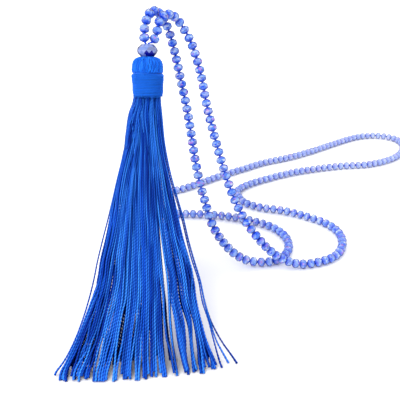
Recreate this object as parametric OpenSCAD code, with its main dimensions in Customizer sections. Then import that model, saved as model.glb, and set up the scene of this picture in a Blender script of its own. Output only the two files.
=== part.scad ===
// Long tassel necklace of faceted crystal beads, hung over a peg and let down to a floor.
// Units are millimetres. The hang point on the peg's axis is the origin, +Z is up.
// The strands drape over the peg, come down to the floor and lie there in loops,
// and the tassel hangs from the drop bead and bends forward until its ends rest on the floor.

/* [Beads] */
// Across one bead of the string, at its widest
bead_d = 4.2; // [4:0.05:4.3]
// Through one bead, along its hole
bead_len = 3.1; // [2.9:0.05:3.2]
// Flat table round each end of a bead's hole
bead_table = 1.8; // [1.6:0.05:2]
// Hole through each bead
bead_bore = 1.2; // [1.1:0.05:1.3]
// Thread through the beads
thread_d = 0.9; // [0.7:0.05:0.9]

/* [Spacing] */
// Bare thread between two beads of a hanging strand
gap_hang = 0.42; // [0.36:0.01:0.56]
// Bare thread between two beads over the peg
gap_peg = 0.72; // [0.7:0.01:0.85]
// Bare thread between two beads where the strands land on the floor
gap_land = 0.42; // [0.38:0.01:0.52]
// Bare thread between two beads of the lying loops
gap_lie = 0.52; // [0.45:0.01:0.7]

/* [Layout] */
// From the peg's axis down to the floor
hang_height = 97; // [94:0.5:101]
// From the hang point out to the far end of the lying loops
loop_reach = 149; // [145:0.5:155]

/* [Drop bead] */
// Across the large bead above the tassel
drop_d = 8.4; // [8:0.1:8.8]
// Through the large bead
drop_len = 4.7; // [4.4:0.1:5]
// Hole through the large bead
drop_bore = 2.6; // [2.4:0.1:2.8]

/* [Tassel] */
// Angle between the head and the upright
head_lean = 16; // [14:0.5:18]
// Angle between the lower skirt and the upright
skirt_lean = 50; // [48:0.5:52]
// Length of the skirt's upper part, which bends from the one angle to the other
bend_len = 30; // [26:1:34]
// Across the domed head
head_d = 12.6; // [12.4:0.1:13.4]
// Height of the domed head
head_h = 6.1; // [5.8:0.1:6.5]
// Bound neck below the head
neck_d = 10; // [9.6:0.1:10.2]
// Thickness of the wound band at its fullest
wrap_t = 1; // [0.8:0.05:1.25]
// Height of the wound band
wrap_h = 9.2; // [8.8:0.1:9.8]
// Width of the skirt at its ends
skirt_w = 56; // [52:0.5:60]
// Thickness of the skirt at its ends
skirt_t = 12; // [11:0.5:14]

/* [Hidden] */

bead_sides = 8;
drop_sides = 12;
thread_sides = 5;
// Clearance between the tassel's head, its band and the drop bead
fit_gap = 0.15;
// Turn from one bead to the next about the thread
bead_turn = 137;

// Route of the string as drawn for a 97 mm drop and a 149 mm reach: up in front of the
// peg, over it, down the left strand, round the lying loops, up the right strand, over
// the peg again and down to the drop bead.
ROUTE = [
    [-6.6, -11.3, -2.5], [-7.1, -9, 0.6], [-6.6, -6.5, 3.6], [-5.9, -4.2, 6],
    [-4.7, -1.6, 7.5], [-2.8, 1.8, 7.3], [-0.8, 4.9, 5.2], [0.8, 6.7, 1.8], [2.8, 6, -4],
    [5, 2.4, -12], [7, -2, -20.4], [9, -6, -28.4], [10.6, -10, -36.4],
    [12, -14, -44.4], [13.4, -18, -52], [15.2, -21.8, -59.6], [17.4, -24.6, -66.8],
    [20, -27, -75], [24, -27.6, -82.4], [30, -26.8, -90], [36, -26, -94],
    [42, -25.6, -95], [48, -24.4, -95], [53.4, -19.6, -95], [56, -11, -95],
    [55, -2, -95], [50, 6.4, -95], [41, 12.4, -95], [30, 17, -95],
    [18, 19.4, -95], [6, 20, -95], [-4, 22, -95], [-10.4, 29, -95],
    [-10, 38, -95], [-4, 44.6, -95], [5, 49, -95], [15, 57, -95],
    [27, 67, -95], [40, 76.4, -95], [54, 86.4, -95], [70, 94.4, -95],
    [86, 105, -95], [104, 119, -95], [120, 130, -95], [133, 133, -95],
    [143, 129, -95], [147, 120, -95], [144, 107, -95], [135, 94, -95],
    [118, 84, -95], [98, 80.8, -95], [80, 75.6, -95], [66, 70, -95],
    [53, 62.6, -95], [42, 55, -95], [36, 48, -95], [35.6, 40, -95],
    [39, 32, -95], [47, 26.8, -95], [58, 23.4, -95], [68, 17.6, -95],
    [77, 10, -95], [81.6, 0, -95], [80.4, -12, -95], [75, -21, -95],
    [66, -26, -95], [58, -27.4, -94.8], [50, -29, -91], [43.4, -30.4, -84.8],
    [38, -30.6, -78], [33, -28.8, -71], [29, -25, -63.4], [25.6, -20.8, -55],
    [22.6, -16, -46], [20, -11.4, -37.4], [17.6, -6.8, -28.4], [15.6, -2, -18.8],
    [12.8, 2.6, -9.6], [10.2, 5.8, -3.8], [7.4, 6.6, 0.6], [4.9, 4.8, 4.4],
    [2.4, 1.6, 6.1], [0.4, -1.4, 6], [-1.3, -4.4, 4.2], [-2, -6.4, 1.5], [-2.2, -7.7, -1.4],
    [-3.9, -9.5, -3]
];
// Centre of the drop bead in the same drawing
DROP_AT = [-5.7, -12, -5.6];

// Bare thread by share of the string's length
GAPS = [
    [0, gap_peg], [0.026, gap_peg], [0.034, gap_hang], [0.134, gap_hang],
    [0.142, gap_land], [0.176, gap_land], [0.186, gap_lie], [0.79, gap_lie],
    [0.80, gap_land], [0.842, gap_land], [0.852, gap_hang], [0.955, gap_hang],
    [0.963, gap_peg], [1, gap_peg]
];

plan_k = (loop_reach - bead_d / 2) / 147;
rise_k = (hang_height - bead_d / 2) / 95;

function placed(p) = [p.x * plan_k, p.y * plan_k, p.z * rise_k];
function unit(v) = v / norm(v);

// Smooth curve through the points, span by span
steps = 12;
knots = [for (p = ROUTE) placed(p)];
last = len(knots) - 1;
function span(a, b, c, d, t) = 0.5 * (2 * b + (c - a) * t + (2 * a - 5 * b + 4 * c - d) * t * t
    + (3 * b - a - 3 * c + d) * t * t * t);
curve = [for (i = [0:last - 1], j = [0:steps - 1])
    span(knots[max(i - 1, 0)], knots[i], knots[i + 1], knots[min(i + 2, last)], j / steps),
    knots[last]];
run = [for (i = 0, s = 0; i < len(curve); i = i + 1,
    s = s + (i < len(curve) ? norm(curve[i] - curve[i - 1]) : 0)) s];
string_len = run[len(run) - 1];
along_x = [for (i = [0:len(run) - 1]) [run[i], curve[i].x]];
along_y = [for (i = [0:len(run) - 1]) [run[i], curve[i].y]];
along_z = [for (i = [0:len(run) - 1]) [run[i], curve[i].z]];
function at(s) = [lookup(s, along_x), lookup(s, along_y), lookup(s, along_z)];

// Middles of the gaps between the beads, then the beads between them
function pitch(s) = bead_len + lookup(s / string_len, GAPS);
marks = [for (s = 0; s <= string_len; s = s + pitch(s)) s];
beads = len(marks) - 1;
half = floor(beads / 2);
stretch = string_len / marks[beads];
gaps = [for (s = marks) at(s * stretch)];

// Cut stone from rings of radius and height, each ring turned half a facet from the last
function gem_points(rings, n) = [for (j = [0:len(rings) - 1], k = [0:n - 1])
    let (a = (k + (j % 2) / 2) * 360 / n)
    [rings[j][0] * cos(a), rings[j][0] * sin(a), rings[j][1]]];
function gem_faces(m, n) = concat(
    [[for (k = [0:n - 1]) k]],
    [for (j = [0:m - 2], k = [0:n - 1], h = [0, 1])
        let (q = (k + 1) % n, lo = j * n, up = lo + n)
        j % 2 == 0
            ? (h == 0 ? [lo + k, up + k, lo + q] : [up + k, up + q, lo + q])
            : (h == 0 ? [lo + k, up + q, lo + q] : [up + k, up + q, lo + k])],
    [[for (k = [n - 1:-1:0]) (m - 1) * n + k]]
);

// Skin over rings of n points that follow one another
function skin_faces(m, n) = concat(
    [[for (k = [0:n - 1]) k]],
    [for (j = [0:m - 2], k = [0:n - 1], h = [0, 1])
        let (q = (k + 1) % n, lo = j * n, up = lo + n)
        h == 0 ? [lo + k, up + k, lo + q] : [up + k, up + q, lo + q]],
    [[for (k = [n - 1:-1:0]) (m - 1) * n + k]]
);

// Rounded bead: flat tables at its ends, its widest ring in the middle and a shoulder between
// them, whose radius and height are shares of the bead's width and length
shoulder = [bead_d * 0.45, bead_len * 0.28];
bead_rings = [[bead_table / 2, -bead_len / 2], [shoulder.x, -shoulder.y], [bead_d / 2, 0],
    [shoulder.x, shoulder.y], [bead_table / 2, bead_len / 2]];
bead_points = gem_points(bead_rings, bead_sides);
bead_faces = gem_faces(len(bead_rings), bead_sides);

module bead() {
    difference() {
        polyhedron(points = bead_points, faces = bead_faces);
        cylinder(h = 2 * bead_len, d = bead_bore, center = true, $fn = 32);
    }
}

module bead_run(from, to) {
    for (i = [from:to]) {
        way = unit(gaps[i + 1] - gaps[i]);
        translate((gaps[i] + gaps[i + 1]) / 2)
            rotate([0, acos(way.z), atan2(way.y, way.x)])
                rotate([0, 0, (i * bead_turn) % (360 / bead_sides)])
                    bead();
    }
}

// Half of the string with the left strand
module bead_string_left() {
    color([0.42, 0.5, 0.9]) bead_run(0, half - 1);
}

// Half of the string with the right strand
module bead_string_right() {
    color([0.42, 0.5, 0.9]) bead_run(half, beads - 1);
}

// Frame of the tassel: the drop bead's centre, with the tassel's head down local -Z
drop_at = placed(DROP_AT);
module hung() {
    translate(drop_at) rotate([-head_lean, 0, 0]) children();
}
function leant(p) = let (c = cos(head_lean), s = sin(head_lean))
    drop_at + [p.x, p.y * c + p.z * s, p.z * c - p.y * s];

// Both ends of the thread go down through the drop bead into a pocket in the tassel's head
head_top = -drop_len / 2 - fit_gap;
pocket = 2.2;
tail_in = pocket - 0.4;
tail_side = (drop_bore - thread_d) * 0.35;
tail_rise = [0.3, 0.5];
thread_path = concat(
    [leant([-tail_side, 0, head_top - tail_in]), leant([-tail_side, 0, drop_len / 2 + tail_rise[0]])],
    gaps,
    [leant([tail_side, 0, drop_len / 2 + tail_rise[1]]), leant([tail_side, 0, head_top - tail_in])]
);
thread_n = len(thread_path);
ways = [for (i = [0:thread_n - 1])
    unit(thread_path[min(i + 1, thread_n - 1)] - thread_path[max(i - 1, 0)])];
function turned(u, w) = unit(u - (u * w) * w);
sides_u = [for (i = 0, u = turned([1, 0, 0], ways[0]); i < thread_n; i = i + 1,
    u = i < thread_n ? turned(u, ways[i]) : u) u];
thread_points = [for (i = [0:thread_n - 1], k = [0:thread_sides - 1])
    let (a = k * 360 / thread_sides, v = cross(ways[i], sides_u[i]))
    thread_path[i] + thread_d / 2 * (cos(a) * sides_u[i] + sin(a) * v)];

module string_thread() {
    color([0.08, 0.2, 0.75])
        polyhedron(points = thread_points, faces = skin_faces(thread_n, thread_sides));
}

// Large faceted bead: radius and height of each ring as shares of its width and its length
DROP = [[0.3, -0.5], [0.455, -0.24], [0.5, 0], [0.455, 0.24], [0.3, 0.5]];
drop_rings = [for (r = DROP) [r[0] * drop_d, r[1] * drop_len]];
module drop_bead() {
    color([0.55, 0.6, 0.9]) hung() difference() {
        polyhedron(points = gem_points(drop_rings, drop_sides), faces = gem_faces(len(DROP), drop_sides));
        cylinder(h = 2 * drop_len, d = drop_bore, center = true, $fn = 48);
    }
}

// Head of the tassel: dome with a pocket for the thread, and the neck that runs down inside
// the band into the skirt. The dome's radius and depth are shares of its width and height.
dome_low = head_top - head_h;
neck_in = 2;
neck_low = dome_low - wrap_h - neck_in;
DOME = [[0.3, 0.03], [0.4, 0.13], [0.46, 0.3], [0.49, 0.52], [0.5, 0.76], [0.49, 0.93], [0.465, 1]];
head_profile = concat(
    [[0, head_top - pocket], [drop_bore / 2, head_top - pocket], [drop_bore / 2, head_top]],
    [for (r = DOME) [r[0] * head_d, head_top - r[1] * head_h]],
    [[neck_d / 2, dome_low], [neck_d / 2, neck_low], [0, neck_low]]
);

// The skirt as drawn straight, and the same point once the skirt's upper part is bent on an arc
// and the skirt swings a little to the right on its way down
skirt_gap = 0.4;
skirt_top = dome_low - wrap_h - skirt_gap;
bend = skirt_lean - head_lean;
bend_r = bend_len * 180 / (PI * bend);
swing = 0.02;
function bent(p) = let (
    past = skirt_top - p.z,
    a = bend * min(max(past / bend_len, 0), 1),
    after = max(past - bend_len, 0))
    [p.x + swing * max(past, 0), p.y * cos(a) - bend_r * (1 - cos(a)) - after * sin(a),
        max(p.z, skirt_top) - bend_r * sin(a) - after * cos(a) - p.y * sin(a)];

// Length along the skirt down to the floor, at a depth behind its middle
function to_floor(rear) = let (
    fall = hang_height + drop_at.z + skirt_top * cos(head_lean)
        - bend_r * (sin(skirt_lean) - sin(head_lean)) - rear * sin(skirt_lean))
    bend_len + fall / cos(skirt_lean);
skirt_len = to_floor(0);

// Half width and half thickness by share of the skirt's length
HALF_W = [[0, 0.182], [0.15, 0.285], [0.33, 0.42], [0.5, 0.54], [0.67, 0.665], [0.83, 0.81], [1, 1]];
HALF_T = [[0, 0.82], [0.16, 0.92], [0.5, 1], [0.8, 0.92], [1, 0.8]];
function half_w(s) = lookup(s, HALF_W) * skirt_w / 2;
function half_t(s) = lookup(s, HALF_T) * skirt_t / 2;
function sag(s) = s * s * skirt_t / 6;

// Fused top of the skirt: share of its length, then shares of the half width and thickness
root_sides = 20;
ROOT = [[-0.03, 0.8, 0.9], [0.001, 0.9, 0.98], [0.016, 1.06, 1.04], [0.06, 1, 1], [0.12, 1, 1],
    [0.19, 1, 1], [0.26, 0.86, 0.76]];
root_points = [for (j = [len(ROOT) - 1:-1:0], k = [0:root_sides - 1])
    let (s = ROOT[j][0], a = (k + 0.5) * 360 / root_sides,
        u = half_w(s) * ROOT[j][1] * cos(a), v = half_t(s) * ROOT[j][2] * sin(a) + sag(s))
    bent([u, v, skirt_top - skirt_len * s])];

// Locks of threads in a front and a rear layer, from inside the root down to the floor:
// share of the skirt's length, then share of the room that one lock has in its row
row = 10;
lock_sides = 6;
LOCK = [[0.17, 0.8], [0.27, 0.9], [0.42, 0.92], [0.6, 0.9], [0.8, 0.88], [1, 0.9]];
row_wide = 0.955;
layer_at = 0.72;
layer_shift = 0.12;
layer_bow = 0.92;
lock_thick = 0.24;
// Floor to lock: least, spread from lock to lock, and more at the skirt's sides
trim_least = 0.4;
trim_spread = 1.2;
trim_sides = 4.5;
function lock_share(i, layer) = (i + 0.5 + layer * layer_shift) * 2 / row - 1;
function lock_back(x, layer, s) = layer * half_t(s) * layer_at * sqrt(1 - x * x * layer_bow) + sag(s);
function lock_end(i, layer) = let (
    x = lock_share(i, layer),
    rear = lock_back(x, layer, 1) + half_t(1) * lock_thick,
    trim = trim_least + trim_spread * abs(sin(i * 97 + layer * 31)) + trim_sides * pow(x, 4))
    (to_floor(rear) - trim) / skirt_len;
function lock_ring(i, layer, s, wide) = let (
    x = lock_share(i, layer),
    cu = x * half_w(s) * row_wide,
    cv = lock_back(x, layer, s),
    hw = half_w(s) / row * wide,
    ht = half_t(s) * lock_thick)
    [for (k = [0:lock_sides - 1]) let (a = k * 360 / lock_sides)
        bent([cu + hw * cos(a), cv + ht * sin(a), skirt_top - skirt_len * s])];
function lock_points(i, layer) = [for (j = [len(LOCK) - 1:-1:0])
    each lock_ring(i, layer, j == len(LOCK) - 1 ? lock_end(i, layer) : LOCK[j][0], LOCK[j][1])];

module tassel() {
    color([0.05, 0.3, 0.85]) hung() union() {
        rotate_extrude($fn = 96) polygon(head_profile);
        polyhedron(points = root_points, faces = skin_faces(len(ROOT), root_sides));
        for (layer = [-1, 1], i = [0:row - 1])
            polyhedron(points = lock_points(i, layer), faces = skin_faces(len(LOCK), lock_sides));
    }
}

// Wound band round the neck: shares of its thickness and of its height down from the top
band_r = neck_d / 2 + fit_gap;
band_top = dome_low - fit_gap;
band_h = wrap_h - fit_gap;
BAND = [[0.75, 0], [1, 0.05], [1, 0.5], [0.7, 0.95], [0.5, 1]];
module tassel_wrap() {
    color([0.04, 0.25, 0.8]) hung() rotate_extrude($fn = 96) polygon(concat(
        [[band_r, band_top]],
        [for (r = BAND) [band_r + r[0] * wrap_t, band_top - r[1] * band_h]],
        [[band_r, band_top - band_h]]
    ));
}

bead_string_left();
bead_string_right();
string_thread();
drop_bead();
tassel();
tassel_wrap();
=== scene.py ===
"""Long tassel necklace: cut crystal beads, a bead thread, a wound head and a skirt of twisted cords.

Lengths in this file are millimetres, and MM turns them into Blender's metres.
"""
import math

import bpy
import numpy as np
from mathutils import Matrix, Vector


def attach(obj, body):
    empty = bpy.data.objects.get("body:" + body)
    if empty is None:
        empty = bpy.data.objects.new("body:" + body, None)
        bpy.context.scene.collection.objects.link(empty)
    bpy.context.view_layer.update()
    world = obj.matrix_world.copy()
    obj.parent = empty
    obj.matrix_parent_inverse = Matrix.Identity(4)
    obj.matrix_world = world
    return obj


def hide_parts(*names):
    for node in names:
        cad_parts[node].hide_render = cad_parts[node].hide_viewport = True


MM = 0.001
RNG = np.random.default_rng(7)
# Ranges of the random phases of a sway and of a thread's twist
SWAY_PHASE = (0, 6.28)
TWIST_PHASE = (0, 3.14)

# Camera, as the photograph was taken
CAMERA_AT = (15.0, -249.0, 47.3)
CAMERA_TILT = 63.435
CAMERA_LENS = 54.0
CAMERA_NEAR = 10.0

# Floor, surroundings and key light. The surroundings are brightest towards LIGHT_SIDE, and
# SURROUNDINGS has their brightness from the far side round to that one.
FLOOR_Z = -97.1
FLOOR_REACH = 4000.0
LIGHT_SIDE = (0.0, 0.8, 0.6)
SURROUNDINGS = ((0.1, 0.22), (0.3, 0.34), (0.55, 0.85), (0.8, 1.0))
SURROUNDINGS_STRENGTH = 1.3
KEY_WAY = (0.4, 0.65, -0.8)
KEY_STRENGTH = 1.85
KEY_ANGLE = 45.0

# The tassel's own frame, as in the part: the drop bead's centre, with the head down local -Z
DROP_AT = (-5.7, -12.0, -5.6)
HEAD_LEAN = -16.0
HEAD_TOP = 2.5
HEAD_D = 12.6
HEAD_H = 6.1
BAND_TOP = 8.7
BAND_LOW = 17.8
BAND_IN = 5.15
BAND_T = 1.0

# The skirt bends forward below the band, on an arc, and swings a little to the right
SKIRT_TOP = 18.2
BEND = math.radians(34.0)
BEND_LEN = 30.0
TO_RIGHT = 0.02

# Points this close are one point of a bead
WELD = 0.001
# Cut beads: half their length, how near to that a flat end lies, and how far from the thread the
# painted blue at their ends fades out, which stands for the thread seen through the glass
BEAD_HALF = 1.55
END_NEAR = 0.04
PAINTED_BLUE_TO_PALE = (1.5, 2.2)
# Lying beads are paler: heights at which a bead counts as lying, how much paler the nearest and
# the farthest are, and how far back the farthest lie
LYING = (-94.0, -80.0)
PALER = (0.12, 0.5)
PALER_BACK = 90.0
# The drop bead's facets painted blue for the head's thread seen through them, in the tassel's frame:
# the highest, and the places of the first and the last from left to right
PAINTED_BLUE_FACET_TOP = -0.6
PAINTED_BLUE_FACET_X = (-0.2, 2.9)

# Threads over the dome: how many, how thick, their plies, and how far they are sunk in, by share
# of their radius
HEAD_THREADS = 78
HEAD_THREAD_R = 0.32
HEAD_PLY = (1.0, 0.84, 0.62, 0.84)
HEAD_LAY = 2.0
HEAD_RINGS = 40
HEAD_SUNK = 0.8
# How far a thread of the dome sways and strays, in radians, and rises from its place
HEAD_SWAY = 0.045
HEAD_STRAY = 0.03
HEAD_LIFT = (-0.16, 0.05)
HEAD_WAVE = 0.08
# Dome by shares of its width and height, from its crown down into the band, and the places on it
# at which one thread after the other begins
DOME = (
    (0.16, 0.0), (0.3, 0.03), (0.4, 0.13), (0.46, 0.3), (0.49, 0.52), (0.5, 0.76),
    (0.49, 0.93), (0.455, 1.0), (0.43, 1.04),
)
DOME_STARTS = (0.0, 1.1, 1.9)
# Body under the threads, from its pocket over the dome and down into the skirt: radius, depth below
# the drop bead's centre, and how deep its painted shade is
CORE = (
    (1.25, 4.5, 0.15), (1.3, 2.65, 0.15), (3.528, 2.9, 0.15), (4.788, 3.6, 0.15),
    (5.544, 4.6, 0.15), (5.859, 5.9, 0.15), (5.985, 7.3, 0.15), (5.67, 8.6, 0.15),
    (5.7, 9.0, 0.15), (5.7, 15.2, 0.5), (3.6, 17.5, 0.5), (3.0, 20.8, 0.5), (2.4, 26.8, 0.5),
)
CORE_SIDES = 48

# Windings of the band, and how unevenly they lie
WINDINGS = 23
WINDING_R = 0.26
WINDING_PLY = (1.0, 0.95, 0.86, 0.95)
WINDING_LAY = 1.1
WINDING_RINGS = 80
UNEVEN = 0.05
SLANT = 0.07
# Thickness of the band by share of its height
BAND_HEIGHTS = (0, 0.05, 0.5, 0.95, 1.0)
BAND_SHARES = (0.8, 1.0, 1.0, 0.7, 0.52)
# Turns that ride over the rest: share of the band's height at which one starts and its rise in a
# turn, then their length in turns, how far they are sunk in, and how far round the neck they start
# from each other
OVER_TURNS = ((0.03, 0.5), (0.1, -0.35), (0.92, 0.4))
OVER_LENGTH = 1.6
OVER_RINGS = 90
OVER_SUNK = 0.1
OVER_APART = 9

# Skirt cords: distances down the tassel, radius there and at the frayed tip, and that tip's length
CORD_AT = (20, 45, 120)
CORD_R = (0.36, 0.39, 0.41)
TIP_R = 0.54
FRAYED = 6
CORD_LAY = 2.5
CORD_PLY = (1.0, 0.92, 0.78, 0.92)
# Distance between the rings of a cord, and how high above the floor its tip stops: at the least,
# and how much more at the most
RING_STEP = 0.42
TRIM = (0.35, 1.3)
# Single cords are thinner and lie in front, by share of the skirt's half thickness
SINGLE_SLIM = 0.82
SINGLE_DEPTH = -0.5
CORDS_PER_FRONT = 2.5
SKIRT_PIECES = 4
# Painted shade: how dark the grooves of the twist are, the sides of a cord that face its neighbours
# (below the band, half way down and at the floor), and the cords that lie deep in the skirt
TWIST_SHADE = 0.36
SIDE_SHADE = (0.75, 1.0, 0.8)
SIDE_SHADE_AT = (32, 60, 120)
INNER_SHADE = 0.6
# Cosine at which a cord's side begins to face its neighbours, and how far it falls until the side
# does so in full. Share of the way out at which a cord begins to lie deep, and the same for it.
TURNS_AWAY = (0.9, 0.7)
DEEP = (0.95, 0.35)

# Sections at which the cords are packed, how far a cord drifts from one to the next, and how much
# of its last drift and of a new one make the next, sideways and in depth
SECTIONS = np.arange(17.0, 136.1, 3.5)
DRIFT = 0.3
DRIFT_PARTS = (0.8, 0.45)
LEAN_PARTS = (0.85, 0.4)
# Packing: share of its radius that a cord keeps from its lock's edges, how strongly cords push
# each other apart and go back to their places, and the passes at the first and other sections
EDGE_ROOM = 0.9
PUSH = 0.3
GO_BACK = 0.04
PASSES = (160, 30)
# Powers below 1 bring the cords nearer to the skirt's outside: at first, and then in each section
# down to where the skirt has left the band
DEPTH_SPREAD = 0.6
OUTWARD_TOP = 0.6
OUTWARD_TOP_END = 26
# The skirt's outline in a section is nearly an ellipse, and at its edges the root of this share of
# its thickness is left
ROUND = 0.96
EDGE_THICK = 0.03
# Just below the band the skirt bulges, most to the left
BULGE_AT = (18.9, 22.5, 26, 38)
BULGE = (0, 0.45, 0.55, 0)
BULGE_LEFT = 0.9
BULGE_WIDER = 0.2
# Near the floor the cords gather in bundles: width of one, how strongly, and from where
BUNDLE = 3.3
GATHER = 0.6
GATHER_FROM = 92.0
# On its way down the skirt turns back, by this much and this much more for each millimetre to the
# right at the distance BACK_AT
BACK = (0.5, 0.07)
BACK_AT = 125

# Distances down the tassel at which the locks of the skirt are given, and how far the skirt
# swings and spreads there beyond the locks' own edges
LEVELS = (18.9, 35.1, 52.4, 61.2, 69, 77.7, 85.2, 92.6, 100.5, 107.2, 114.4, 121.6, 125.6)
SWING = (-0.1, -0.9, -0.9, -0.8, -0.7, -0.6, -0.6, -0.5, -0.4, -0.3, -0.3, -0.2, -0.1)
SPREAD = (1.03, 1.05, 1.05, 1.05, 1.04, 1.03, 1.03, 1.02, 1.02, 1.01, 1.01, 1.0, 1.0)
# Each lock: cords across its front, its left edge and its right edge at each level
LOCKS = {
    "stray_left": (
        1,
        (-5.2, -8.0, -11.2, -12.7, -14.2, -16.0, -17.3, -18.5, -20.1, -22.0, -24.3, -27.9, -30.6),
        (-4.9, -7.3, -10.4, -12.0, -13.5, -15.3, -16.5, -17.7, -19.3, -21.2, -23.5, -27.1, -29.8),
    ),
    "body": (
        38,
        (-4.9, -7.5, -10.8, -12.3, -13.2, -14.6, -16.0, -17.0, -18.9, -21.2, -23.6, -26.9, -28.7),
        (1.1, 1.7, 2.6, 3.0, 3.4, 4.0, 4.5, 5.0, 5.6, 5.9, 6.2, 6.9, 7.4),
    ),
    "left_of_slit": (
        2,
        (1.1, 1.7, 2.6, 3.0, 3.4, 4.0, 4.5, 5.0, 5.6, 6.3, 7.2, 8.3, 8.8),
        (1.5, 2.3, 3.3, 3.9, 4.5, 5.2, 5.8, 6.4, 7.1, 7.5, 8.5, 9.7, 10.3),
    ),
    "in_slit": (
        2,
        (1.5, 2.3, 3.4, 3.9, 4.6, 5.6, 6.6, 7.5, 7.9, 8.2, 8.7, 9.6, 10.2),
        (1.9, 2.8, 4.0, 4.7, 5.4, 6.3, 7.3, 8.3, 8.7, 9.0, 9.6, 10.7, 11.3),
    ),
    "right_a": (
        3,
        (1.9, 2.8, 4.0, 4.7, 5.4, 6.3, 7.3, 8.4, 8.8, 10.0, 11.0, 12.6, 13.6),
        (2.5, 3.7, 5.5, 6.4, 7.5, 8.9, 10.0, 11.2, 12.0, 13.6, 14.2, 14.6, 15.5),
    ),
    "right_b": (
        3,
        (2.5, 3.7, 5.5, 6.4, 7.5, 8.9, 10.0, 11.2, 12.1, 14.3, 15.2, 15.9, 16.0),
        (3.1, 4.6, 6.9, 8.2, 9.6, 11.0, 12.6, 13.8, 14.6, 16.2, 16.4, 17.3, 18.3),
    ),
    "right_c": (
        8,
        (3.1, 4.6, 6.9, 8.2, 9.6, 11.0, 12.6, 13.8, 14.7, 16.5, 17.6, 18.2, 18.7),
        (4.2, 5.9, 8.6, 10.5, 12.0, 13.8, 15.8, 17.3, 18.1, 19.6, 21.5, 24.4, 25.7),
    ),
    "stray_right_a": (
        1,
        (4.2, 5.9, 8.6, 10.7, 12.7, 14.5, 16.2, 18.5, 19.6, 21.7, 23.4, 25.4, 26.8),
        (4.6, 6.4, 9.2, 11.3, 13.3, 15.1, 16.9, 19.1, 20.3, 22.4, 24.1, 26.1, 27.5),
    ),
    "stray_right_b": (
        1,
        (4.6, 6.4, 9.2, 11.3, 13.3, 15.1, 16.9, 19.1, 20.3, 22.2, 24.4, 28.4, 30.3),
        (4.8, 6.8, 9.8, 12.0, 14.0, 15.8, 17.7, 19.7, 21.0, 22.9, 25.1, 29.1, 31.0),
    ),
    "stray_right_c": (
        1,
        (4.6, 6.4, 9.2, 11.3, 13.3, 15.1, 16.9, 19.1, 20.5, 22.6, 26.3, 31.4, 33.6),
        (5.0, 6.8, 9.8, 12.0, 14.0, 15.8, 17.7, 19.8, 21.2, 23.3, 27.0, 32.1, 34.3),
    ),
}
# Half width of the whole skirt and its half thickness at each level
WIDE = (5.4, 8.3, 11.8, 13.5, 15.2, 17.0, 18.5, 20.2, 21.8, 23.7, 25.8, 28.7, 30.6)
THICK = (4.8, 5.1, 5.5, 5.6, 5.7, 5.6, 5.5, 5.2, 4.9, 4.6, 4.3, 4.1, 4.0)

# Colours
WHITE = (1.0, 1.0, 1.0)
FLOOR_WHITE = (0.94, 0.94, 0.95, 1.0)
PALE = (0.64, 0.7, 0.93)
SHEEN_BLUE = (0.1, 0.42, 1.0, 1.0)
# Tints of the facets of the string's beads and of the drop bead, by share of all facets: the
# coating's own tints, with greyer facets that are painted dark reflections, and on the string's beads
# near-white facets that are painted highlights and deep blue facets that are the painted thread seen
# through the glass
BLUE_FACETS_AND_REFLECTIONS = (
    (0.0, (0.14, 0.32, 0.86)), (0.18, (0.3, 0.5, 0.92)), (0.42, (0.45, 0.63, 0.95)),
    (0.66, (0.8, 0.9, 1.0)), (0.78, (0.24, 0.24, 0.42)), (0.84, (0.6, 0.3, 0.76)),
    (0.9, (0.03, 0.1, 0.8)),
)
PALE_FACETS_AND_REFLECTIONS = (
    (0.0, (0.2, 0.29, 0.68)), (0.35, (0.27, 0.34, 0.72)), (0.6, (0.22, 0.25, 0.46)),
    (0.8, (0.36, 0.43, 0.8)),
)
# Each bead's own tint, from bluish to pinkish
BEAD_TINTS = (
    (0.0, (0.75, 0.84, 1.0)), (0.6, (0.97, 1.0, 1.0)), (0.85, (1.0, 0.97, 0.97)),
    (1.0, (1.0, 0.82, 0.86)),
)
# Noise along threads: scale of the streaks, whose dark parts are painted shade between threads, how
# far apart two threads lie in it, and scale and depth of the fibres
STREAK_SCALE = 45.0
STREAKS_APART = 40.0
FIBRE_SCALE = 4000.0
FIBRE_DEPTH = 0.05

TASSEL_FRAME = (
    Matrix.Translation(Vector(DROP_AT))
    @ Matrix.Rotation(math.radians(HEAD_LEAN), 4, "X")
)
TASSEL_TURN = np.array(TASSEL_FRAME.to_3x3())
TASSEL_ORIGIN = np.array(TASSEL_FRAME.translation)


def grey(level):
    """A colour without a hue."""
    return (level, level, level)


def to_object(points):
    """Points of the tassel's frame, in millimetres, as points of the object's frame in metres."""
    return (np.asarray(points) @ TASSEL_TURN.T + TASSEL_ORIGIN) * MM


def to_tassel(points):
    """Points of the object's frame, in metres, as points of the tassel's frame in millimetres."""
    return (np.asarray(points) / MM - TASSEL_ORIGIN) @ TASSEL_TURN


def bent(across, rear, down):
    """Points of the skirt as drawn straight, in the tassel's frame once its upper part is bent."""
    past = np.asarray(down) - SKIRT_TOP
    angle = BEND * np.clip(past / BEND_LEN, 0, 1)
    after = np.maximum(past - BEND_LEN, 0)
    arc = BEND_LEN / BEND
    x = across + TO_RIGHT * np.maximum(past, 0)
    y = rear * np.cos(angle) - arc * (1 - np.cos(angle)) - after * np.sin(angle)
    z = (-np.minimum(down, SKIRT_TOP) - arc * np.sin(angle) - after * np.cos(angle)
         - rear * np.sin(angle))
    return np.stack([x, y, z], axis=-1)


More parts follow.
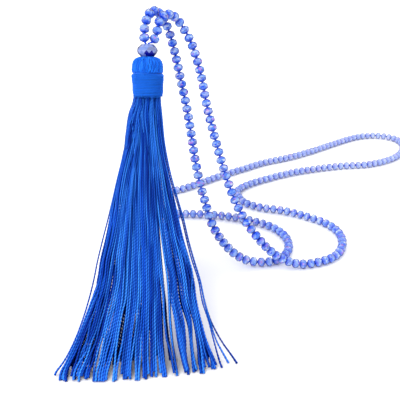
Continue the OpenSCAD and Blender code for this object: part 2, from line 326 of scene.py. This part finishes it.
class Nodes:
    """A node tree, with a short way to add nodes and to join them."""

    def __init__(self, tree):
        self.tree = tree

    def feed(self, socket, value):
        """Join another socket to this one, or set its own value."""
        if isinstance(value, bpy.types.NodeSocket):
            self.tree.links.new(value, socket)
        else:
            socket.default_value = value

    def node(self, kind, inputs=(), **settings):
        """A new node with its settings and its inputs."""
        made = self.tree.nodes.new(kind)
        for key, value in settings.items():
            setattr(made, key, value)
        for key, value in dict(inputs).items():
            self.feed(made.inputs[key], value)
        return made

    def ramp(self, factor, stops, interpolation="LINEAR"):
        """The colour that a ramp with these stops has at the factor."""
        made = self.node("ShaderNodeValToRGB", {"Fac": factor})
        made.color_ramp.interpolation = interpolation
        while len(made.color_ramp.elements) < len(stops):
            made.color_ramp.elements.new(1.0)
        for element, (place, colour) in zip(made.color_ramp.elements, stops):
            element.position = place
            element.color = (*colour, 1.0)
        return made.outputs["Color"]

    def mix(self, factor, one, other, blend="MIX"):
        """Two colours mixed by the factor."""
        made = self.node("ShaderNodeMix", data_type="RGBA", blend_type=blend)
        sockets = [socket for socket in made.inputs if socket.enabled]
        for socket, value in zip(sockets, (factor, one, other)):
            self.feed(socket, (*value, 1.0) if isinstance(value, tuple) else value)
        return next(socket for socket in made.outputs if socket.enabled)

    def attribute(self, name):
        """A number that is kept at each point of the mesh."""
        return self.node("ShaderNodeAttribute", attribute_name=name).outputs["Fac"]


class Shader(Nodes):
    """A new material and its nodes."""

    def __init__(self, name):
        self.material = bpy.data.materials.new(name)
        self.material.use_nodes = True
        super().__init__(self.material.node_tree)
        self.surface = self.tree.nodes["Principled BSDF"]

    def set(self, **values):
        """Join or set inputs of the surface, with _ for the spaces in their names."""
        for key, value in values.items():
            self.feed(self.surface.inputs[key.replace("_", " ")], value)


def crystal(name, facets, deep, rim, see_through):
    """Cut crystal with a rainbow coating: each facet has its own tint, some of them painted
    highlights and painted reflections, the rim is darkened with painted shade for the dark
    surroundings it reflects, and the deep colour is painted where the blue thread would be seen
    through the bead."""
    shader = Shader(name)
    facet = shader.node("ShaderNodeNewGeometry").outputs["Random Per Island"]
    tint = shader.ramp(facet, facets, "CONSTANT")
    own = shader.ramp(shader.attribute("bead_tint"), BEAD_TINTS)
    tint = shader.mix(1.0, tint, own, "MULTIPLY")
    # Painted blue where the thread would be seen through the bead
    tint = shader.mix(shader.attribute("blue"), tint, deep)
    tint = shader.mix(shader.attribute("paler"), tint, PALE)
    # Painted shade at the rim, for the dark surroundings that the glass reflects there
    edge = shader.node("ShaderNodeLayerWeight", {"Blend": 0.3}).outputs["Facing"]
    painted_rim_shade = shader.ramp(edge, ((0.2, WHITE), (0.5, rim)))
    clear = shader.ramp(edge, ((0.15, grey(see_through)), (0.45, grey(0.0))))
    shader.set(
        Base_Color=shader.mix(1.0, tint, painted_rim_shade, "MULTIPLY"), Roughness=0.1, IOR=1.4,
        Specular_IOR_Level=0.15, Transmission_Weight=clear,
        Coat_Weight=0.1, Coat_Roughness=0.03, Coat_IOR=1.5,
    )
    return shader.material


def cord_material(name, dark, light, grooves, streaks):
    """Glossy twisted thread: each thread a little lighter or darker, with streaks along it, darker
    with painted shade in the grooves of its twist and between threads, and with fine fibres. Dark
    streaks are painted shade between threads as well."""
    shader = Shader(name)
    island = shader.node("ShaderNodeNewGeometry").outputs["Random Per Island"]
    place = shader.node("ShaderNodeTexCoord").outputs["Object"]
    apart = shader.node("ShaderNodeMath", {0: island, 1: STREAKS_APART}, operation="MULTIPLY")
    patches = shader.node(
        "ShaderNodeTexNoise",
        {"Vector": place, "W": apart.outputs[0], "Scale": STREAK_SCALE, "Detail": 1.0},
        noise_dimensions="4D",
    )
    own = shader.ramp(island, ((0.0, dark), (1.0, light)))
    # Streaks along the thread: a tone that varies, and where dark, painted shade between threads
    streak_tone_and_shade = shader.ramp(patches.outputs["Fac"], ((0.4, streaks), (0.53, WHITE)))
    # The groove value carries painted shade: the twist's grooves, sides facing other threads, and
    # threads deep inside
    groove = shader.attribute("groove")
    own = shader.mix(1.0, own, shader.ramp(groove, grooves), "MULTIPLY")
    fibres = shader.node(
        "ShaderNodeTexNoise", {"Vector": place, "Scale": FIBRE_SCALE, "Detail": 2.0}
    ).outputs["Fac"]
    bump = shader.node(
        "ShaderNodeBump", {"Strength": 0.3, "Distance": FIBRE_DEPTH * MM, "Height": fibres}
    )
    gloss = shader.ramp(fibres, ((0.35, grey(0.36)), (0.65, grey(0.52))))
    gloss = shader.mix(groove, gloss, grey(0.9))
    shader.set(
        Base_Color=shader.mix(1.0, own, streak_tone_and_shade, "MULTIPLY"), Normal=bump.outputs["Normal"],
        Roughness=gloss, Specular_IOR_Level=0.5, Specular_Tint=SHEEN_BLUE,
    )
    return shader.material


def add_piece(name, mesh, material, stands_for):
    """A piece of the object, riding on the part's one body."""
    mesh.materials.clear()
    mesh.materials.append(material)
    piece = bpy.data.objects.new(name, mesh)
    bpy.context.scene.collection.objects.link(piece)
    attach(piece, "root")
    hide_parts(stands_for)


def add_values(mesh, name, values):
    """Keep a number at each point of a mesh, for its material."""
    attribute = mesh.attributes.new(name, "FLOAT", "POINT")
    attribute.data.foreach_set("value", values.astype(np.float32))


def mesh_piece(name, threads, material, stands_for):
    """A piece made of threads, given in the tassel's frame."""
    points, faces, groove = threads
    mesh = bpy.data.meshes.new(name)
    mesh.from_pydata(to_object(points), [], faces)
    mesh.shade_smooth()
    add_values(mesh, "groove", groove)
    add_piece(name, mesh, material, stands_for)


def bead_of_points(points, corners):
    """Which of the loose solids of a mesh each point belongs to, counted from 0."""
    cells = np.round(points / (WELD * MM)).astype(np.int64)
    _, spot = np.unique(cells, axis=0, return_inverse=True)
    spot = spot.ravel()
    bead = np.arange(spot.max() + 1)
    while True:
        low = bead[spot[corners]].min(axis=1)
        after = bead.copy()
        np.minimum.at(after, spot[corners], low[:, None])
        if (after == bead).all():
            break
        bead = after
    _, bead = np.unique(bead[spot], return_inverse=True)
    return bead.ravel()


def cut_piece(name, node, painted_blue_of, material):
    """The beads of a node, with each bead's own tint and the places painted blue where the thread
    would show through.
    """
    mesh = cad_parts[node].data.copy()
    mesh.name = name
    points = np.empty(len(mesh.vertices) * 3)
    mesh.vertices.foreach_get("co", points)
    points = points.reshape(-1, 3)
    corners = np.array([list(face.vertices) for face in mesh.polygons])
    bead = bead_of_points(points, corners)
    count = np.bincount(bead)
    middle = np.stack([np.bincount(bead, points[:, k]) for k in range(3)], axis=1) / count[:, None]
    tints = RNG.uniform(0, 1, len(count))
    lying = np.interp(middle[:, 2] / MM, LYING, (1, 0))
    paler = lying * np.interp(middle[:, 1] / MM, (0, PALER_BACK), PALER)
    add_values(mesh, "bead_tint", tints[bead])
    add_values(mesh, "blue", painted_blue_of(points, corners, bead, middle))
    add_values(mesh, "paler", paler[bead])
    add_piece(name, mesh, material, node)


def painted_blue_ends(points, corners, bead, middle):
    """Share of painted blue at each point of a string's beads, for the thread seen through the glass:
    most round the hole, none at the girdle.
    """
    flat = points[corners]
    normal = np.cross(flat[:, 1] - flat[:, 0], flat[:, 2] - flat[:, 0])
    normal /= np.linalg.norm(normal, axis=1)[:, None] + 1e-12
    own = bead[corners[:, 0]]
    depth = np.abs(((flat[:, 0] - middle[own]) * normal).sum(axis=1)) / MM
    axis = np.zeros_like(middle)
    for face in np.flatnonzero(np.abs(depth - BEAD_HALF) < END_NEAR):
        axis[own[face]] = normal[face]
    offset = points - middle[bead]
    along = (offset * axis[bead]).sum(axis=1)
    radius = np.linalg.norm(offset - along[:, None] * axis[bead], axis=1) / MM
    return np.clip((PAINTED_BLUE_TO_PALE[1] - radius) / (PAINTED_BLUE_TO_PALE[1] - PAINTED_BLUE_TO_PALE[0]), 0, 1)


def painted_blue_facet(points, corners, *_):
    """Share of painted blue at each point of the drop bead: its low facets are painted with the
    head's thread seen through them.
    """
    x, y, z = to_tassel(points[corners].mean(axis=1)).T
    low = (z < PAINTED_BLUE_FACET_TOP) & (x > PAINTED_BLUE_FACET_X[0]) & (x < PAINTED_BLUE_FACET_X[1]) & (y < 0)
    blue = np.zeros(len(points))
    blue[corners[low].ravel()] = 1.0
    return blue


def smooth_values(levels, values, wanted):
    """Values at the wanted places on a smooth curve through the levels."""
    levels, values = np.asarray(levels, float), np.asarray(values, float)
    slopes = np.gradient(values, levels)
    k = np.clip(np.searchsorted(levels, wanted) - 1, 0, len(levels) - 2)
    width = levels[k + 1] - levels[k]
    t = np.clip((wanted - levels[k]) / width, 0.0, 1.0)
    return (
        (2 * t**3 - 3 * t**2 + 1) * values[k]
        + (t**3 - 2 * t**2 + t) * width * slopes[k]
        + (3 * t**2 - 2 * t**3) * values[k + 1]
        + (t**3 - t**2) * width * slopes[k + 1]
    )


def tube_faces(rings, sides):
    """Four-sided faces between rings that follow one another, and a face at each end."""
    ring = np.arange(rings - 1)[:, None] * sides
    side = np.arange(sides)[None, :]
    after = (side + 1) % sides
    quads = np.stack([ring + side, ring + after, ring + sides + after, ring + sides + side], axis=-1)
    ends = [list(range(sides - 1, -1, -1)), list(range((rings - 1) * sides, rings * sides))]
    return quads.reshape(-1, 4).tolist() + ends


def twisted_thread(path, radii, lay, ply, phase, sides=8):
    """Points, faces and depth in the groove of a two-ply thread along a path, in the path's units."""
    along = np.gradient(path, axis=0)
    along /= np.linalg.norm(along, axis=1)[:, None]
    across = np.cross(along, np.array([0.31, 0.52, 0.17]) + 0 * along)
    across /= np.linalg.norm(across, axis=1)[:, None]
    up = np.cross(along, across)
    steps = np.linalg.norm(np.diff(path, axis=0), axis=1)
    run = np.concatenate([[0.0], np.cumsum(steps)])
    turn = phase + 2 * math.pi * run / lay
    angle = turn[:, None] + np.arange(sides) * 2 * math.pi / sides
    reach = np.asarray(radii)[:, None] * np.resize(ply, sides)[None, :]
    points = (
        path[:, None, :]
        + (reach * np.cos(angle))[:, :, None] * across[:, None, :]
        + (reach * np.sin(angle))[:, :, None] * up[:, None, :]
    ).reshape(-1, 3)
    groove = np.tile((1 - np.resize(ply, sides)) / (1 - min(ply)), len(path))
    return points, tube_faces(len(path), sides), groove


def joined(threads):
    """One set of points, faces and groove values from many."""
    points, faces, grooves, base = [], [], [], 0
    for some_points, some_faces, groove in threads:
        points.append(some_points)
        faces.extend([[i + base for i in face] for face in some_faces])
        grooves.append(groove)
        base += len(some_points)
    return np.concatenate(points), faces, np.concatenate(grooves)


def round_path(radius, angle, down):
    """A path round the tassel's axis."""
    return np.stack([radius * np.cos(angle), radius * np.sin(angle), -down], axis=1)


def sway(place, reach, paces):
    """A smooth random sway along a thread."""
    return reach * np.sin(place * RNG.uniform(*paces) + RNG.uniform(*SWAY_PHASE))


def head_threads():
    """Threads laid over the dome of the head, from its crown down to the band."""
    dome = np.array(DOME)
    radius, depth = dome[:, 0] * HEAD_D, HEAD_TOP + dome[:, 1] * HEAD_H
    threads = []
    for i in range(HEAD_THREADS):
        place = np.linspace(DOME_STARTS[i % len(DOME_STARTS)], len(dome) - 1, HEAD_RINGS)
        r = np.interp(place, np.arange(len(dome)), radius) - HEAD_THREAD_R * HEAD_SUNK
        down = np.interp(place, np.arange(len(dome)), depth)
        aside = sway(place, HEAD_SWAY, (0.9, 2.0)) + RNG.uniform(-HEAD_STRAY, HEAD_STRAY)
        angle = 2 * math.pi * i / HEAD_THREADS + aside
        lift = RNG.uniform(*HEAD_LIFT) + sway(place, HEAD_WAVE, (1, 2.5))
        path = round_path(r + lift, angle, down)
        radii = np.full(len(path), HEAD_THREAD_R)
        threads.append(twisted_thread(path, radii, HEAD_LAY, HEAD_PLY, RNG.uniform(*TWIST_PHASE)))
    return joined(threads)


def head_core():
    """Closed body under the head's threads, with the pocket for the bead thread."""
    radius, down, shade = np.repeat(np.array(CORE), CORE_SIDES, axis=0).T
    angle = np.tile(np.arange(CORE_SIDES) * 2 * math.pi / CORE_SIDES, len(CORE))
    return round_path(radius, angle, down), tube_faces(len(CORE), CORE_SIDES), shade


def band_reach(share):
    """How far the band stands out from the neck, by share of its height."""
    return BAND_IN + BAND_T * smooth_values(BAND_HEIGHTS, BAND_SHARES, share)


def winding(r, angle, down):
    """Thread wound round the neck."""
    path = round_path(r, angle, down)
    return twisted_thread(path, np.full(len(path), WINDING_R), WINDING_LAY, WINDING_PLY, 0.0)


def band_windings():
    """Thread wound round the neck, turn below turn, with a few turns that ride over the rest."""
    height = BAND_LOW - BAND_TOP
    turn = np.linspace(0, WINDINGS, WINDINGS * WINDING_RINGS)
    share = turn / WINDINGS
    angle = 2 * math.pi * turn
    r = band_reach(share) - WINDING_R + UNEVEN * np.sin(angle * 0.37) + UNEVEN * np.sin(turn * 2.9)
    down = BAND_TOP + WINDING_R + share * (height - 2 * WINDING_R)
    windings = [winding(r, angle, down + SLANT * np.sin(angle * 1.07) * np.sin(turn * 1.9))]
    for start, rise in OVER_TURNS:
        angle = np.linspace(0, 2 * math.pi * OVER_LENGTH, OVER_RINGS)
        down = BAND_TOP + height * start + WINDING_R + rise * angle / (2 * math.pi)
        r = band_reach(np.clip((down - BAND_TOP) / height, 0, 1)) - OVER_SUNK
        windings.append(winding(r, angle + start * OVER_APART, down))
    return joined(windings)


def rounding(place):
    """Share of the skirt's thickness at places across its width, from -1 to 1, without folds."""
    return np.sqrt(np.clip(1 - place**2 * ROUND, EDGE_THICK, 1))


def fold_depth(place, t):
    """Folds that run down the skirt: the share of its thickness left at places across its width."""
    wave = np.sin(17 * place + 1.3 + 0.01 * t) + 0.7 * np.sin(31 * place + 0.4 - 0.006 * t)
    return 0.87 + 0.08 * wave


def lock_room(owner, t, r, spread, swing):
    """Left end of the room that each cord has across its lock, and the width of that room."""
    lo, hi = (
        np.array([smooth_values(LEVELS, LOCKS[lock][edge], np.array([t]))[0] for lock in owner])
        * spread + swing
        for edge in (1, 2)
    )
    lo, hi = lo + EDGE_ROOM * r, hi - EDGE_ROOM * r
    return np.minimum(lo, (lo + hi) / 2), np.maximum(hi - lo, 1e-6)


def packed_sections():
    """Each cord's lock, and for each section down the skirt the places of all cords, pushed apart
    until none runs into another, the way that is outward there, and how deep each one lies."""
    owner = [
        lock for lock, (count, _, _) in LOCKS.items()
        for _ in range(1 if count == 1 else round(count * CORDS_PER_FRONT))
    ]
    n = len(owner)
    single = np.array([LOCKS[lock][0] == 1 for lock in owner])
    share, depth = RNG.uniform(0, 1, n), RNG.uniform(-1, 1, n)
    depth = np.where(single, SINGLE_DEPTH, np.sign(depth) * np.abs(depth) ** DEPTH_SPREAD)
    drift, lean = RNG.uniform(-1, 1, n), RNG.uniform(-1, 1, n)
    # Two cords in the same place still push each other apart
    apart = (np.arange(n)[:, None] - np.arange(n)[None]) * 1e-5
    sections = []
    for k, t in enumerate(SECTIONS):
        r = np.interp(t, CORD_AT, CORD_R)
        bulge = np.interp(t, BULGE_AT, BULGE)
        swing = np.interp(t, LEVELS, SWING) - BULGE_LEFT * bulge
        spread = np.interp(t, LEVELS, SPREAD) * (1 + BULGE_WIDER * bulge)
        lo, room = lock_room(owner, t, r, spread, swing)
        width = np.interp(t, LEVELS, WIDE) * (1 + BULGE_WIDER * bulge)
        thick = np.interp(t, LEVELS, THICK) - r
        drift = DRIFT_PARTS[0] * drift + DRIFT_PARTS[1] * RNG.normal(0, 1, n)
        lean = LEAN_PARTS[0] * lean + LEAN_PARTS[1] * RNG.normal(0, 1, n)
        x = lo + room * np.clip(share, 0, 1)
        y = depth * thick * rounding((x - swing) / width)
        if k:
            x, y = x + DRIFT * drift * ~single, y + DRIFT * lean * ~single
        if t > GATHER_FROM:
            # The inner sine makes bundles of uneven width
            turn = 2 * math.pi / BUNDLE
            x = x - GATHER / turn * np.sin(turn * x + 1.2 * np.sin(0.35 * x)) * ~single
        home = x, y
        for _ in range(PASSES[min(k, 1)]):
            dx, dy = x[:, None] - x[None], y[:, None] - y[None] + apart
            # A cord is far from itself
            gap = np.hypot(dx, dy) + np.eye(n) * 9
            push = np.clip(2 * r - gap, 0, None) * PUSH / gap
            x = np.clip(x + (dx * push).sum(1) + GO_BACK * (home[0] - x), lo, lo + room)
            place = (x - swing) / width
            limit = thick * rounding(place) * fold_depth(place, t)
            y = np.clip(y + (dy * push).sum(1) + GO_BACK * (home[1] - y), -limit, limit)
        share = np.where(room > 0.01, (x - lo) / room, 0.5)
        depth = np.clip(y / limit, -1, 1)
        if t < OUTWARD_TOP_END:
            depth = np.sign(depth) * np.abs(depth) ** OUTWARD_TOP
        out = np.stack([(x - swing) / width**2, y / thick**2], axis=1)
        out /= np.linalg.norm(out, axis=1)[:, None] + 1e-9
        reach = np.hypot(0.98 * place, y / (thick * fold_depth(place, t)))
        inner = np.clip((DEEP[0] - reach) / DEEP[1], 0, 1)
        back = (BACK[0] + BACK[1] * x) * (t / BACK_AT) ** 3
        sections.append(np.column_stack([x, y + back, out, inner]))
    return owner, np.array(sections)


def between(points, path, out):
    """How far the points of a cord turn away from the skirt's outside, from 0 to 1."""
    way = points.reshape(len(path), -1, 3) - path[:, None, :]
    way /= np.linalg.norm(way, axis=2)[:, :, None]
    facing = (way * out[:, None, :]).sum(axis=2) / np.linalg.norm(out, axis=1)[:, None]
    return np.clip((TURNS_AWAY[0] - facing) / TURNS_AWAY[1], 0, 1).ravel()


def skirt_cords():
    """All cords of the skirt, from inside the band down to the floor."""
    owner, sections = packed_sections()
    whole = np.arange(SECTIONS[0], SECTIONS[-1], RING_STEP)
    cords = []
    for i, lock in enumerate(owner):
        x, y, out_x, out_y, inner = (
            smooth_values(SECTIONS, sections[:, i, k], whole) for k in range(5)
        )
        path = bent(x, y, whole)
        out = bent(x + out_x, y + out_y, whole) - path
        height = to_object(path)[:, 2] / MM - FLOOR_Z
        trim = TRIM[0] + TRIM[1] * RNG.uniform(0, 1) ** 2
        last = int(np.argmax(height < trim)) or len(whole) - 1
        path, t, out, inner = (values[: last + 1] for values in (path, whole, out, inner))
        slim = SINGLE_SLIM if LOCKS[lock][0] == 1 else 1.0
        r = np.interp(
            t, (CORD_AT[0], CORD_AT[1], t[-1] - FRAYED, t[-1]),
            (CORD_R[0], CORD_R[1] * slim, CORD_R[2] * slim, TIP_R * slim),
        )
        phase = RNG.uniform(*TWIST_PHASE)
        points, faces, groove = twisted_thread(path, r, CORD_LAY, CORD_PLY, phase)
        sides = len(points) // len(path)
        side_shade = np.repeat(np.interp(t, SIDE_SHADE_AT, SIDE_SHADE), sides)
        # Painted shade in the twist's grooves, on the sides facing neighbours and on cords deep in
        # the skirt
        groove = (TWIST_SHADE * groove + side_shade * between(points, path, out)
                  + INNER_SHADE * np.repeat(inner, sides))
        cords.append((points, faces, np.clip(groove, 0, 1)))
    return cords


def add_camera():
    """The camera, where the photograph was taken from."""
    data = bpy.data.cameras.new("camera")
    data.sensor_width = 36.0
    data.lens = CAMERA_LENS
    data.clip_start = CAMERA_NEAR * MM
    camera = bpy.data.objects.new("camera", data)
    camera.location = Vector(CAMERA_AT) * MM
    camera.rotation_euler = (math.radians(CAMERA_TILT), 0.0, 0.0)
    bpy.context.scene.collection.objects.link(camera)
    bpy.context.scene.camera = camera


def add_floor():
    """White floor that the loops and the tassel's ends rest on."""
    reach = FLOOR_REACH * MM
    corners = [(-reach, -reach, 0), (reach, -reach, 0), (reach, reach, 0), (-reach, reach, 0)]
    mesh = bpy.data.meshes.new("floor")
    mesh.from_pydata(corners, [], [(0, 1, 2, 3)])
    shader = Shader("floor_white")
    shader.set(Base_Color=FLOOR_WHITE, Roughness=0.8, Specular_IOR_Level=0.0)
    mesh.materials.append(shader.material)
    floor = bpy.data.objects.new("floor", mesh)
    floor.location.z = FLOOR_Z * MM
    bpy.context.scene.collection.objects.link(floor)


def add_light():
    """Surroundings that are white above and behind and darker in front, and a broad key light."""
    world = bpy.data.worlds.new("studio")
    bpy.context.scene.world = world
    world.use_nodes = True
    nodes = Nodes(world.node_tree)
    way = nodes.node("ShaderNodeTexCoord").outputs["Generated"]
    lean = nodes.node("ShaderNodeVectorMath", {0: way, 1: LIGHT_SIDE}, operation="DOT_PRODUCT")
    share = nodes.node("ShaderNodeMapRange", {"Value": lean.outputs["Value"], "From Min": -1.0})
    stops = [(place, grey(level)) for place, level in SURROUNDINGS]
    background = nodes.tree.nodes["Background"].inputs
    nodes.feed(background["Color"], nodes.ramp(share.outputs["Result"], stops))
    nodes.feed(background["Strength"], SURROUNDINGS_STRENGTH)

    data = bpy.data.lights.new("key", "SUN")
    data.energy = KEY_STRENGTH
    data.angle = math.radians(KEY_ANGLE)
    lamp = bpy.data.objects.new("key", data)
    lamp.rotation_euler = Vector(KEY_WAY).to_track_quat("-Z", "Y").to_euler()
    bpy.context.scene.collection.objects.link(lamp)
    bpy.context.scene.view_settings.view_transform = "Standard"


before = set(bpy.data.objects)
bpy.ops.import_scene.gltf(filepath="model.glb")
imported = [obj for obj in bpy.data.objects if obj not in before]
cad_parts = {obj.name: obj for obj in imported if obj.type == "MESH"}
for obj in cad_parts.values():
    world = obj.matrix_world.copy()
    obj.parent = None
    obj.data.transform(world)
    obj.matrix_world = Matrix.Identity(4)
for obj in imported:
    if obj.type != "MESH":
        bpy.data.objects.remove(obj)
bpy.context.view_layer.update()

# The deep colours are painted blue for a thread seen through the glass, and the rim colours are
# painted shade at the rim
crystal_blue = crystal("crystal_blue", BLUE_FACETS_AND_REFLECTIONS, (0.02, 0.1, 0.88), (0.22, 0.19, 0.27), 0.2)
crystal_pale = crystal("crystal_pale", PALE_FACETS_AND_REFLECTIONS, (0.003, 0.006, 0.3), (0.24, 0.22, 0.27), 0.15)
thread_blue = cord_material(
    "thread_blue", dark=(0.015, 0.08, 0.82), light=(0.02, 0.1, 0.9),
    grooves=((0.2, WHITE), (1.0, WHITE)), streaks=(0.8, 0.85, 0.9),
)
# The grooves ramp and the dark streaks of the skirt are painted shade between and inside the cords
tassel_blue = cord_material(
    "tassel_blue", dark=(0.004, 0.085, 0.68), light=(0.06, 0.33, 1.0),
    grooves=((0.1, WHITE), (0.5, (0.2, 0.37, 0.64)), (1.0, (0.01, 0.05, 0.24))),
    streaks=(0.14, 0.27, 0.52),
)
head_blue = cord_material(
    "head_blue", dark=(0.012, 0.18, 0.88), light=(0.025, 0.26, 0.97),
    grooves=((0.2, WHITE), (1.0, (0.4, 0.62, 0.82))), streaks=(0.6, 0.7, 0.85),
)
wrap_blue = cord_material(
    "wrap_blue", dark=(0.018, 0.19, 0.93), light=(0.025, 0.23, 0.98),
    grooves=((0.2, WHITE), (1.0, (0.5, 0.72, 0.88))), streaks=(0.7, 0.8, 0.9),
)

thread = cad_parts["string_thread"]
thread.data.materials.clear()
thread.data.materials.append(thread_blue)
for side in ("left", "right"):
    cut_piece("beads_" + side, "bead_string_" + side, painted_blue_ends, crystal_blue)
cut_piece("drop_crystal", "drop_bead", painted_blue_facet, crystal_pale)

mesh_piece("head_core", head_core(), tassel_blue, "tassel")
mesh_piece("head_threads", head_threads(), head_blue, "tassel")
mesh_piece("band_windings", band_windings(), wrap_blue, "tassel_wrap")
cords = skirt_cords()
for k in range(SKIRT_PIECES):
    threads = joined(cords[k::SKIRT_PIECES])
    mesh_piece(f"skirt_cords_{k + 1}", threads, tassel_blue, "tassel")

add_camera()
add_floor()
add_light()
